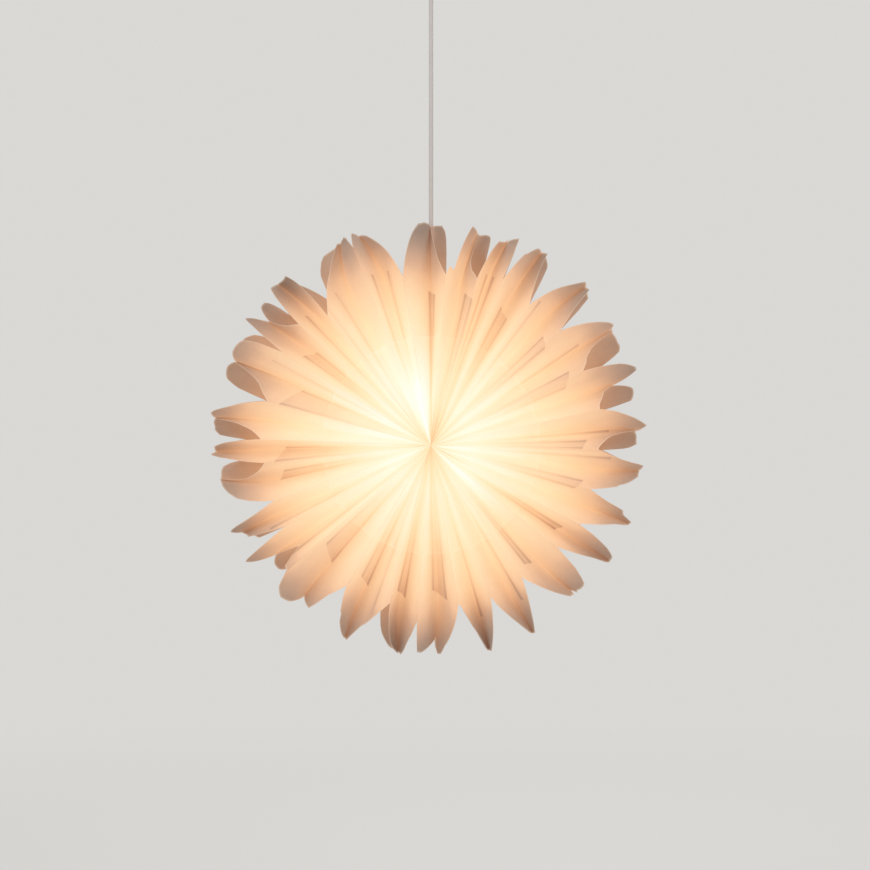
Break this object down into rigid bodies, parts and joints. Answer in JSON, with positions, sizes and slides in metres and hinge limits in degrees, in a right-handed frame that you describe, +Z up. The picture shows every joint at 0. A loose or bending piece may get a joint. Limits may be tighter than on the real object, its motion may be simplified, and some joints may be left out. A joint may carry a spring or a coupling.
{
  "type": "paper star pendant lamp",
  "caption": "Round star of folded paper bags glued face to face and fanned about their bottoms, lit by a small bulb inside, hanging on a cord from a ceiling rose.",
  "frame": {"origin": "centre of the ceiling rose's top face, midway between its two screw holes", "axes": "+Z up, +X to the right of someone facing the star, star's axis along Y"},
  "size_m": [0.5009, 0.15, 0.8265],
  "materials": {
    "star_paper": "thin uncoated paper, lit from within",
    "bulb_glass": "opal glass, lit",
    "holder_plastic": "white moulded plastic",
    "carrier_plastic": "cream heat-proof plastic",
    "brass": "bright brass sheet",
    "washer_card": "grey-brown card",
    "cord_jacket": "white flexible jacket",
    "rose_plastic": "white moulded plastic",
    "steel": "zinc-plated steel"
  },
  "bodies": {
    "root": {"bag_01": "star_paper", "bag_02": "star_paper", "bag_03": "star_paper", "bag_04": "star_paper", "bag_05": "star_paper", "bag_06": "star_paper", "bag_07": "star_paper", "bag_08": "star_paper", "bag_09": "star_paper", "bag_10": "star_paper", "bag_11": "star_paper", "bag_12": "star_paper", "bag_13": "star_paper", "bag_14": "star_paper", "bag_15": "star_paper", "bag_16": "star_paper", "bag_17": "star_paper", "bag_18": "star_paper", "bag_19": "star_paper", "bag_20": "star_paper", "bag_21": "star_paper", "bag_22": "star_paper", "bag_23": "star_paper", "bag_24": "star_paper", "bag_25": "star_paper", "bag_26": "star_paper", "bag_27": "star_paper", "bag_28": "star_paper", "star_washer": "washer_card", "holder_grip": "holder_plastic", "holder_cap": "holder_plastic", "holder_skirt": "holder_plastic", "contact_carrier": "carrier_plastic", "lamp_sleeve": "brass", "centre_contact": "brass", "bulb": "bulb_glass", "cord": "cord_jacket", "rose_cup": "rose_plastic", "rose_bracket": "steel", "rose_nipple": "steel", "bracket_nut": "steel", "rose_nut": "steel", "rose_grip": "rose_plastic", "terminal_block": "carrier_plastic"}
  },
  "joints": []
}
